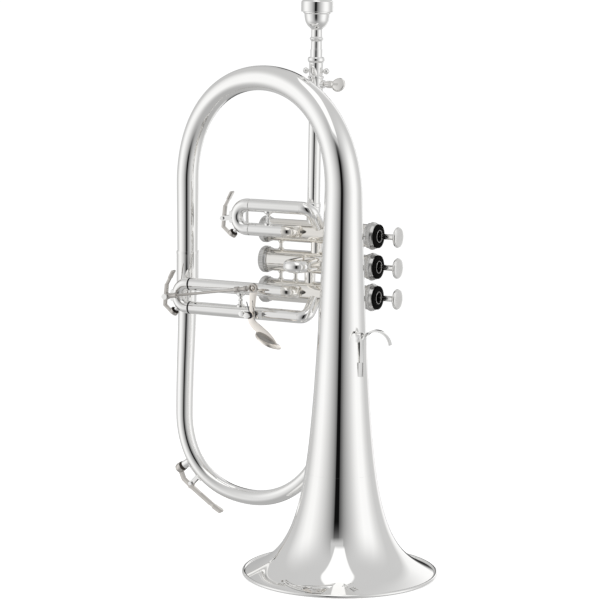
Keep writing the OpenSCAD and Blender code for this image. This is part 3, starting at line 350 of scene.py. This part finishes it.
SLOT_MATERIALS = {
    "silver_plate": silver_plate,
    "satin_nickel": polished_nickel,
    "monel_piston": monel,
    "trigger_brass": trigger_plate,
    "spring_steel": spring_steel,
    "black_felt": black_felt,
    "key_cork": key_cork,
    "bumper_rubber": bumper_rubber,
}
WARM_NODES = (
    "casing_1", "casing_2", "casing_3", "casing_braces", "crossovers",
    "slide1_elbow_lower", "slide3_elbow_upper", "slide2_sleeves",
)
AGED_NODES = ("linkage_rod", "slide1_key_lever", "slide3_key_lever", "bow_key_lever")
BEVELLED_NODES = AGED_NODES + ("trigger_bracket", "trigger_lever", "clamp_screw", "finger_hook")
EDGE_BEVEL = 0.2 * MM
BEVEL_ANGLE = math.radians(40)
CORNER_ANGLE = math.radians(30)
WELD_REACH = 0.000002

# ---------------------------------------------------------------- CAD nodes that stay

for part in frame["record"]["subparts"]:
    node = frame["nodes"][part["node"]]
    finish = SLOT_MATERIALS[part["material_slot"]]
    if part["node"] in WARM_NODES:
        finish = silver_warm
    if part["node"] in AGED_NODES:
        finish = aged_plate
    node.data.materials.clear()
    node.data.materials.append(finish)
    node.data.shade_smooth()
    weld = node.modifiers.new("weld", "WELD")
    weld.merge_threshold = WELD_REACH
    if part["node"] in BEVELLED_NODES:
        bevel = node.modifiers.new("worn_edges", "BEVEL")
        bevel.width = EDGE_BEVEL
        bevel.segments = 2
        bevel.limit_method = "ANGLE"
        bevel.angle_limit = BEVEL_ANGLE
    split = node.modifiers.new("corners", "EDGE_SPLIT")
    split.split_angle = CORNER_ANGLE


# ---------------------------------------------------------------- bell and bows

WALL = 0.6 * MM
ARC_STEPS = 160
RIM_WIRE_D = 2.6 * MM
RIM_SINK = 0.15 * MM
FLARE_SCALE = 14.6 * MM
FLARE_POWER = 0.561
THROAT_SWELL = 0.8 * MM
THROAT_GAIN = 1.0 * MM
THROAT_SCALE = 50 * MM

BELL_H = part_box("bell_throat")[1].z
BELL_SEAM = 80 * MM
RIM_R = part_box("rim_wire")[1].x - RIM_WIRE_D / 2
RIM_EDGE_Z = 1.1 * MM


def flare(z):
    """Outer radius of the bell at height z."""
    horn = RIM_R * (1 + z / FLARE_SCALE) ** -FLARE_POWER
    swell = THROAT_SWELL * math.sin(math.pi * z / BELL_H)
    return horn + swell + THROAT_GAIN * (1 - math.exp(-z / THROAT_SCALE))


def make_bell_part(name, node, z_low, z_high, crowding):
    """One revolved length of the bell, between two heights."""
    steps = 110
    heights = [z_low + (z_high - z_low) * (i / steps) ** crowding for i in range(steps + 1)]
    points = [Vector((flare(z), z + RIM_EDGE_Z * (1 - z / BELL_H))) for z in heights]
    inner = []
    for i, z in enumerate(heights):
        dz = 0.01 * MM
        z = min(z, BELL_H - dz)
        slope = (flare(z + dz) - flare(z)) / dz
        inner.append(points[i] - WALL * Vector((1, -slope)).normalized())
    outline = [tuple(p) for p in points] + [(p.x, max(p.y, 0)) for p in reversed(inner)]
    piece = lathe(name, outline, (0, 0, 0), (0, 0, 1), silver_plate, 256)
    stands_for(piece, node, "horn")


def make_rim_wire():
    """The wire rolled into the edge of the bell, flattened a little where the horn stands on it."""
    radius = RIM_WIRE_D / 2
    outline = []
    for k in range(48):
        angle = TAU * k / 48
        height = radius - RIM_SINK + radius * math.sin(angle)
        outline.append((RIM_R + radius * math.cos(angle), max(height, 0)))
    piece = lathe("rim_bead", outline, (0, 0, 0), (0, 0, 1), silver_plate, 256)
    stands_for(piece, "rim_wire", "horn")


BOW_MID_R = 9.8 * MM
BOW_LOW_R = 8.9 * MM
BOW_END_R = 8.4 * MM
BOW_SHOULDER = 1.6 * MM
SEAT_DEPTH = 6 * MM


def make_bell_bow():
    """The big bend from the top of the bell round and down into the bow ferrule."""
    foot = middle("bow_ferrule")
    foot.z = 0
    half = foot.length / 2
    across = foot.normalized()
    spring_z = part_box("bell_bow")[1].z - BOW_MID_R - half
    finish_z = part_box("bow_ferrule")[1].z - SEAT_DEPTH
    start_r = flare(BELL_H)
    sag = (start_r + BOW_LOW_R) / 2 - BOW_MID_R
    path, radii = [], []
    for i in range(5):
        path.append(Vector((0, 0, BELL_H + (spring_z - BELL_H) * i / 5)))
        radii.append(start_r)
    for i in range(ARC_STEPS + 1):
        t = i / ARC_STEPS
        angle = math.pi * t
        r = half + BOW_SHOULDER * math.sin(2 * angle) ** 2
        path.append(across * (half - r * math.cos(angle)) + Vector((0, 0, spring_z + r * math.sin(angle))))
        radii.append(start_r + (BOW_LOW_R - start_r) * t - 4 * sag * t * (1 - t))
    for i in range(1, 41):
        t = i / 40
        path.append(foot + Vector((0, 0, spring_z + (finish_z - spring_z) * t)))
        radii.append(BOW_LOW_R + (BOW_END_R - BOW_LOW_R) * min(t * 1.1, 1))
    piece = tube("bell_bow_tube", path, blurred(radii, 3), WALL, silver_plate)
    stands_for(piece, "bell_bow", "horn")


BOTTOM_Z = 103 * MM
BOTTOM_LEFT_X = -169.8 * MM
BOTTOM_TOP_R = 7.6 * MM
BOTTOM_LEFT_R = 6.9 * MM
BOTTOM_RIGHT_R = 5.5 * MM
BOTTOM_SHOULDER = 2 * MM
OUTLET_SEAT = 8 * MM


def make_bottom_bow():
    """The lower bend, from inside the bow ferrule round to the outlet of the third valve."""
    ferrule_low, ferrule_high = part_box("bow_ferrule")
    top = middle("bow_ferrule")
    top.z = ferrule_high.z - SEAT_DEPTH - 0.4 * MM
    left = Vector((BOTTOM_LEFT_X, top.y, BOTTOM_Z))
    outlet = middle("outlet_knuckle")
    right = Vector((outlet.x, outlet.y, BOTTOM_Z))
    outlet_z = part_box("outlet_knuckle")[0].z + OUTLET_SEAT
    lean_z = ferrule_low.z - 0.2 * MM
    across = (right - left).normalized()
    half = (right - left).length / 2
    path, radii = [top], [BOTTOM_TOP_R]
    for i in range(60):
        t = i / 60
        ease = t * t * (3 - 2 * t)
        path.append(Vector((top.x + (left.x - top.x) * ease, top.y, lean_z + (BOTTOM_Z - lean_z) * t)))
        radii.append(BOTTOM_TOP_R + (BOTTOM_LEFT_R - BOTTOM_TOP_R) * t)
    for i in range(ARC_STEPS + 1):
        t = i / ARC_STEPS
        angle = math.pi * t
        shoulder = BOTTOM_SHOULDER * math.sin(2 * angle) ** 2 if t < 0.5 else 0
        r = half + shoulder
        path.append(left + across * (half - r * math.cos(angle)) - Vector((0, 0, r * math.sin(angle))))
        radii.append(BOTTOM_LEFT_R + (BOTTOM_RIGHT_R - BOTTOM_LEFT_R) * t)
    for i in range(1, 21):
        path.append(right + Vector((0, 0, (outlet_z - BOTTOM_Z) * i / 20)))
        radii.append(BOTTOM_RIGHT_R)
    piece = tube("bottom_bow_tube", path, blurred(radii, 3), WALL, silver_plate)
    stands_for(piece, "bottom_bow", "horn")


make_bell_part("flare_skin", "bell_flare", 0, BELL_SEAM, 1.8)
make_bell_part("throat_skin", "bell_throat", BELL_SEAM + 0.02 * MM, BELL_H, 1.2)
make_rim_wire()
make_bell_bow()
make_bottom_bow()


# ---------------------------------------------------------------- valve caps, felts and buttons

CAP_SEAT_R = 8.92
TOP_CAP_R = 10.9
BOTTOM_CAP_R = 10.7
STEM_R = 2.2
BUTTON_R = 7.9
FELT_RING_R = 4.7 * MM
FELT_RING_WIRE_R = 0.15 * MM

TOP_CAP = (
    [(CAP_SEAT_R, 0), (9.5, 0), (9.9, 0.4), (10, 2.0), (TOP_CAP_R - 0.5, 2.4), (TOP_CAP_R - 0.2, 2.9)]
    + [(TOP_CAP_R, 3.0, 1), (TOP_CAP_R, 4.7, 1)]
    + [(TOP_CAP_R - 0.2, 4.8), (TOP_CAP_R - 0.6, 5.3), (10.1, 5.6), (9.8, 7.1), (9.4, 7.8)]
    + [(STEM_R + 0.05, 7.8), (STEM_R + 0.05, 5.8), (7.25, 5.8), (7.25, 4.22), (CAP_SEAT_R, 4.22)]
)
BOTTOM_CAP = (
    [(1.3, 0)]
    + rounded([(2.4, 0), (3.2, 0.8), (6.5, 2), (8.8, 3.4), (BOTTOM_CAP_R - 0.6, 3.8)])
    + [(BOTTOM_CAP_R - 0.25, 4.4), (BOTTOM_CAP_R, 4.6, 1), (BOTTOM_CAP_R, 7.9, 1)]
    + [(BOTTOM_CAP_R - 0.25, 8), (BOTTOM_CAP_R - 0.7, 8.6), (9.9, 8.8), (9.8, 10.2), (9.4, 10.6)]
    + [(CAP_SEAT_R, 10.6), (CAP_SEAT_R, 6.98), (7, 6.98), (7, 3), (1.3, 3)]
)
FELT = [(3, 0), (9.3, 0), (9.3, 1.5), (9.2, 1.7), (9, 1.8), (3, 1.8)]
BUTTON_AND_STEM = (
    [(0, -58.2), (1.6, -58.2), (1.6, -53.2), (4.5, -53.2), (4.5, -50.2), (STEM_R, -50.2), (STEM_R, -4.1)]
    + rounded([(STEM_R, -4.1), (2.6, -3.5), (3.2, -3.3)])
    + rounded([(BUTTON_R - 1.2, -3.3), (BUTTON_R - 0.3, -2.8), (BUTTON_R, -2.3), (BUTTON_R, -1.3),
               (BUTTON_R - 0.4, -0.6), (BUTTON_R - 1.2, -0.3), (BUTTON_R - 2.8, 0)])
    + [(3, -0.1), (0, -0.15)]
)


def make_valve(number):
    """The caps, felt, felt ring and finger button of one valve."""
    centre = middle(f"casing_{number}")

    def along(x):
        return Vector((x, centre.y, centre.z))

    node = f"top_cap_{number}"
    cap = lathe(f"top_cap_turned_{number}", millimetres(TOP_CAP), along(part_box(node)[0].x), (1, 0, 0),
                satin_nickel, teeth=52, depth=0.35 * MM)
    stands_for(cap, node, "horn")

    node = f"bottom_cap_{number}"
    cap = lathe(f"bottom_cap_turned_{number}", millimetres(BOTTOM_CAP), along(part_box(node)[0].x), (1, 0, 0),
                satin_nickel, teeth=48, depth=0.4 * MM)
    stands_for(cap, node, "horn")

    node = f"cap_felt_{number}"
    felt_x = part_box(node)[1].x
    felt = lathe(f"felt_disc_{number}", millimetres(FELT), along(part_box(node)[0].x), (1, 0, 0),
                 black_felt, 128)
    stands_for(felt, node, "horn")

    bead = []
    for k in range(12):
        angle = TAU * k / 12
        bead.append((FELT_RING_R + FELT_RING_WIRE_R * math.cos(angle), FELT_RING_WIRE_R * math.sin(angle)))
    ring = lathe(f"felt_ring_{number}", bead, along(felt_x), (1, 0, 0), polished_nickel, 96)
    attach(ring, "horn")

    node = f"button_{number}"
    button = lathe(f"finger_button_{number}", millimetres(BUTTON_AND_STEM), along(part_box(node)[1].x),
                   (1, 0, 0), button_satin, 128)
    stands_for(button, node, f"valve_{number}")


for number in (1, 2, 3):
    make_valve(number)


# ---------------------------------------------------------------- mouthpiece and receiver

RIM_OUTSIDE = rounded([
    (12.5, -9.2), (12.5, -2.4), (12, -1), (10.9, -0.2), (9.9, 0), (8.8, -0.6), (8.3, -1.6)])
CUP_INSIDE = rounded([(8.3, -1.6), (7.9, -5), (6.4, -10), (4.3, -16), (2.6, -21), (2.2, -24), (2.2, -29)])
MOUTHPIECE = (
    [(3.6, -67.7), (4.12, -67.7), (4.62, -44.7), (4.75, -39.1), (4.3, -38.3)]
    + rounded([(4.2, -32.7), (4.5, -31.9), (5.3, -30.8), (5.3, -30), (4.4, -28.7), (4.3, -26)])
    + rounded([(4.3, -23.3), (5.1, -22.1), (7.2, -20.1), (8.8, -17.3), (9.6, -14.1), (9.9, -11.1)])
    + [(10.3, -10.6), (10.8, -10.4), (10.8, -9.6), (12.2, -9.4)]
    + RIM_OUTSIDE + CUP_INSIDE[1:]
)
RECEIVER = (
    [(4, -43.9), (4.9, -43.9), (4.9, -14.5), (5.2, -14.5), (5.5, -14), (5.5, -4.4)]
    + rounded([(5.5, -4.4), (6, -3.9), (6.6, -3), (6.65, -2), (6.6, -1), (6.1, -0.1)])
    + [(4.67, 0), (4.11, -26), (4, -26)]
)
KNOB = (
    [(0, 4.6), (2.3, 4.6)] + rounded([(2.3, 5.2), (1.4, 6.2), (1.15, 6.8)])
    + [(2.4 * math.sin(math.radians(a)), 9.1 - 2.4 * math.cos(math.radians(a))) for a in range(30, 181, 10)]
)
KNOB_DROP = 10.8 * MM
COLLAR_R = 6.1 * MM
MOUTHPIECE_CREST_R = 9.9 * MM
MOUTHPIECE_DROP = 5 * MM


def make_mouthpiece():
    """The mouthpiece, turned about its slightly leaning axis."""
    low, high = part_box("mouthpiece")
    axis = Vector(joint("mouthpiece_pull")["axis"])
    top = (low + high) / 2
    top.z = high.z - MOUTHPIECE_CREST_R * axis.x
    top.x += MOUTHPIECE_DROP * axis.x
    piece = lathe("mouthpiece_turned", millimetres(MOUTHPIECE), top, axis, silver_plate, 160)
    stands_for(piece, "mouthpiece", "mouthpiece")


def make_receiver():
    """The receiver tube with its collar and the two knobs for the fingers."""
    low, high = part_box("receiver")
    axis = Vector(joint("receiver_pull")["axis"])
    top = (low + high) / 2
    top.z = high.z - COLLAR_R * axis.x
    top.x += KNOB_DROP * axis.x
    knob_at = top - axis * KNOB_DROP
    across = Vector((axis.z, 0, -axis.x))
    parts = [turned(millimetres(RECEIVER), top, axis, 128)]
    for side in (-1, 1):
        parts.append(turned(millimetres(KNOB), knob_at, across * side, 48))
    piece = joined("receiver_turned", parts, silver_plate)
    stands_for(piece, "receiver", "receiver")


make_mouthpiece()
make_receiver()


# ---------------------------------------------------------------- trigger

SPRING_LEAN = 1 * MM


def make_trigger_spring():
    """Torsion spring on the trigger's pin: coils on both sides of the lever, and a long leg."""
    low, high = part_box("trigger_spring")
    hinge = Vector(joint("trigger_turn")["pos_m"])
    wire_r = 0.36 * MM
    coil_r = 2.5 * MM
    pitch = 0.78 * MM

    def coil(first_y, turns):
        return [
            Vector((
                hinge.x + coil_r * math.cos(TAU * i / 40),
                first_y + pitch * i / 40,
                hinge.z + coil_r * math.sin(TAU * i / 40),
            ))
            for i in range(turns * 40 + 1)
        ]

    first_y = low.y + wire_r
    foot = Vector((hinge.x + coil_r, first_y, hinge.z))
    tip = Vector((hinge.x - SPRING_LEAN, first_y, high.z - wire_r))
    leg = [foot + (tip - foot) * t for t in (1, 0.75, 0.5, 0.25, 0.1)]
    front = wire_data(leg + coil(first_y, 4), wire_r)
    back = wire_data(coil(high.y - wire_r - 2 * pitch, 2), wire_r)
    piece = joined("trigger_coil", [front, back], spring_steel, 80)
    stands_for(piece, "trigger_spring", "trigger")


PAD_ANGLE = math.radians(25.5)
PAD_START = Vector((4.6, 14.9, -13.4)) * MM
GRIP_INSET = 1 * MM
GRIP_BASE = 0.05
GRIP_RIDGE = 0.16


def make_finger_grip():
    """Knurled inlay on top of the trigger's finger pad."""
    hinge = Vector(joint("trigger_turn")["pos_m"])
    start = Vector((hinge.x + PAD_START.x, PAD_START.y, hinge.z + PAD_START.z))
    along = Vector((math.cos(PAD_ANGLE), 0, -math.sin(PAD_ANGLE)))
    up = Vector((math.sin(PAD_ANGLE), 0, math.cos(PAD_ANGLE)))
    length, depth, tooth = 19 * MM, 7.6 * MM, 0.9 * MM
    columns, rows = 127, 56
    verts = []
    for i in range(columns + 1):
        s = i / columns
        reach = depth * (4 * s * (1 - s)) ** 0.6
        for k in range(rows + 1):
            x, y = GRIP_INSET + length * s, reach * k / rows
            ridge = math.cos(TAU * (x + y) / tooth) * math.cos(TAU * (x - y) / tooth)
            edge = min(1, 8 * s, 8 * (1 - s), 6 * (1 - k / rows))
            lift = GRIP_BASE + GRIP_RIDGE * (1 + ridge) * edge
            verts.append(start + along * x + Vector((0, -y, 0)) + up * lift * MM)
    faces = []
    for i in range(columns):
        for k in range(rows):
            a = i * (rows + 1) + k
            faces.append((a, a + 1, a + rows + 2, a + rows + 1))
    piece = add_mesh("finger_grip", verts, faces, pad_plate, 60)
    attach(piece, "trigger")


make_trigger_spring()
make_finger_grip()


# ---------------------------------------------------------------- stage, light and camera

CAMERA_AZIMUTH = math.radians(28.4)
CAMERA_ELEVATION = math.radians(8.01)
CAMERA_ROLL = math.radians(0.46)
CAMERA_DISTANCE = 1.71905
CAMERA_LENS = 134.2
TARGET_SIDE = -0.03255
TARGET_HEIGHT = 0.21468


def make_camera():
    """The photo's camera: azimuth, elevation and roll about a point on the horn."""
    a, e, r = CAMERA_AZIMUTH, CAMERA_ELEVATION, CAMERA_ROLL
    back = Vector((math.sin(a) * math.cos(e), -math.cos(a) * math.cos(e), math.sin(e)))
    right = Vector((math.cos(a), math.sin(a), 0))
    up = back.cross(right)
    rolled_right = right * math.cos(r) + up * math.sin(r)
    rolled_up = up * math.cos(r) - right * math.sin(r)
    target = right * TARGET_SIDE + Vector((0, 0, TARGET_HEIGHT))
    data = bpy.data.cameras.new("camera")
    data.sensor_width = 36
    data.lens = CAMERA_LENS
    data.clip_start = 0.05
    data.clip_end = 100
    camera = bpy.data.objects.new("camera", data)
    bpy.context.scene.collection.objects.link(camera)
    turn = Matrix((rolled_right, rolled_up, back)).transposed().to_4x4()
    camera.matrix_world = Matrix.Translation(target + back * CAMERA_DISTANCE) @ turn
    bpy.context.scene.camera = camera


# Brightness of the studio round the horn: degrees from the camera's side, positive to its right.
STUDIO_RING = (
    (-180, 0.1), (-178, 0.45), (-150, 0.59), (-127, 0.6), (-110, 0.82), (-94, 0.99),
    (-78, 1.0), (-63, 0.85), (-47, 0.66), (-36, 0.5), (-27, 0.36), (-17.2, 0.15), (-16.4, 0.005),
    (-3.8, 0.005), (-3, 0.085), (1, 0.15), (9, 0.31), (17, 0.44), (33, 0.66), (49, 0.9), (61, 1.02),
    (80, 1.0), (97, 0.76), (113, 0.62), (137, 0.62), (149, 0.97), (166, 1.04), (169, 0.03), (180, 0.03),
)
CEILING = 0.6
GROUND = 0.46


def make_world():
    """A pale studio: a ring of brightness round the horn, a ceiling and one large soft box."""
    world = bpy.data.worlds.new("studio")
    bpy.context.scene.world = world
    world.use_nodes = True
    tree = world.node_tree
    nodes, links = tree.nodes, tree.links

    def math_node(kind, a, b=None, c=None, clamp=False):
        node = nodes.new("ShaderNodeMath")
        node.operation = kind
        node.use_clamp = clamp
        for socket, value in zip(node.inputs, (a, b, c)):
            if value is None:
                continue
            if isinstance(value, (int, float)):
                socket.default_value = value
            else:
                links.new(value, socket)
        return node.outputs[0]

    def step(value, low, high, start=0.0, stop=1.0):
        node = nodes.new("ShaderNodeMapRange")
        node.interpolation_type = "SMOOTHSTEP"
        node.inputs["From Min"].default_value = low
        node.inputs["From Max"].default_value = high
        node.inputs["To Min"].default_value = start
        node.inputs["To Max"].default_value = stop
        links.new(value, node.inputs["Value"])
        return node.outputs["Result"]

    coords = nodes.new("ShaderNodeTexCoord").outputs["Generated"]

    def along(direction):
        node = nodes.new("ShaderNodeVectorMath")
        node.operation = "DOT_PRODUCT"
        links.new(coords, node.inputs[0])
        node.inputs[1].default_value = direction
        return node.outputs["Value"]

    a = CAMERA_AZIMUTH
    front = along((math.sin(a), -math.cos(a), 0))
    side = along((math.cos(a), math.sin(a), 0))
    up = along((0, 0, 1))

    turn = math_node("ARCTAN2", side, front)
    place = math_node("MULTIPLY_ADD", turn, 1 / TAU, 0.5)
    ramp = nodes.new("ShaderNodeValToRGB")
    elements = ramp.color_ramp.elements
    while len(elements) > 1:
        elements.remove(elements[-1])
    for index, (angle, value) in enumerate(STUDIO_RING):
        position = (angle + 180) / 360
        element = elements[0] if index == 0 else elements.new(position)
        element.position = position
        element.color = (value, value, value, 1)
    links.new(place, ramp.inputs["Fac"])
    ring = ramp.outputs["Color"]

    # the ring fades into an even grey ceiling, its dark gap sooner than the rest
    height = step(up, 0.3, 0.9)
    gap_end = step(up, 0.44, 0.58)
    rise = math_node("MAXIMUM", height, math_node("MULTIPLY", gap_end, math_node("LESS_THAN", ring, 0.28)))
    base = math_node("MULTIPLY_ADD", math_node("SUBTRACT", CEILING, ring), rise, ring)
    fall = step(up, -0.3, -0.85)
    base = math_node("MULTIPLY_ADD", math_node("SUBTRACT", GROUND, base), fall, base)

    # large soft box over the front of the horn
    safe_up = math_node("MAXIMUM", up, 0.001)
    across = math_node("ABSOLUTE", math_node("ADD", math_node("DIVIDE", side, safe_up), 0.03))
    toward = math_node("DIVIDE", front, safe_up)
    width = math_node("MULTIPLY", step(toward, -0.6, 0.1), 0.26)
    inside = step(math_node("SUBTRACT", width, across), -0.01, 0.03)
    box = math_node("MULTIPLY", inside, step(toward, 1.35, 1.12))
    box = math_node("MULTIPLY", box, math_node("GREATER_THAN", up, 0.02))
    level = math_node("MULTIPLY_ADD", math_node("SUBTRACT", 1.06, base), box, base)

    # seen directly, the studio is plain white
    camera_ray = nodes.new("ShaderNodeLightPath").outputs["Is Camera Ray"]
    shown = math_node("MULTIPLY_ADD", math_node("SUBTRACT", 1.05, level), camera_ray, level)
    links.new(shown, nodes["Background"].inputs["Strength"])
    nodes["Background"].inputs["Color"].default_value = (1, 1, 1, 1)


def make_floor():
    """A plain pale disc under the bell."""
    material, tree, shader = new_material("pale_floor", Roughness=0.6, Emission_Strength=0.5)
    shader.inputs["Emission Color"].default_value = (1, 1, 1, 1)
    tree.links.new(
        tint(tree, noise(tree, 3, 2), ((0.88, 0.88, 0.88), (0.9, 0.9, 0.9))), shader.inputs["Base Color"])
    rings = [
        [Vector((r * math.cos(TAU * k / 96), r * math.sin(TAU * k / 96), 0)) for k in range(96)]
        for r in (0.001, 0.3, 0.7, 1.2)
    ]
    verts, faces = stitch(rings, False)
    floor = add_mesh("floor", verts, faces, material)
    floor.location = (cad_low.x / 2, cad_high.y / 2, cad_low.z - 0.0002)
    floor.visible_glossy = False


def make_light():
    """One large soft lamp from the front."""
    data = bpy.data.lights.new("soft_key", "AREA")
    data.shape = "DISK"
    data.size = 1.2
    data.energy = 4
    light = bpy.data.objects.new("soft_key", data)
    light.location = (0.4, -0.9, 1.6)
    light.rotation_euler = (Vector(light.location) - Vector((0, 0, 0.2))).to_track_quat("Z", "Y").to_euler()
    light.visible_glossy = False
    light.visible_camera = False
    bpy.context.scene.collection.objects.link(light)


make_camera()
make_world()
make_floor()
make_light()
bpy.context.scene.view_settings.view_transform = "Standard"
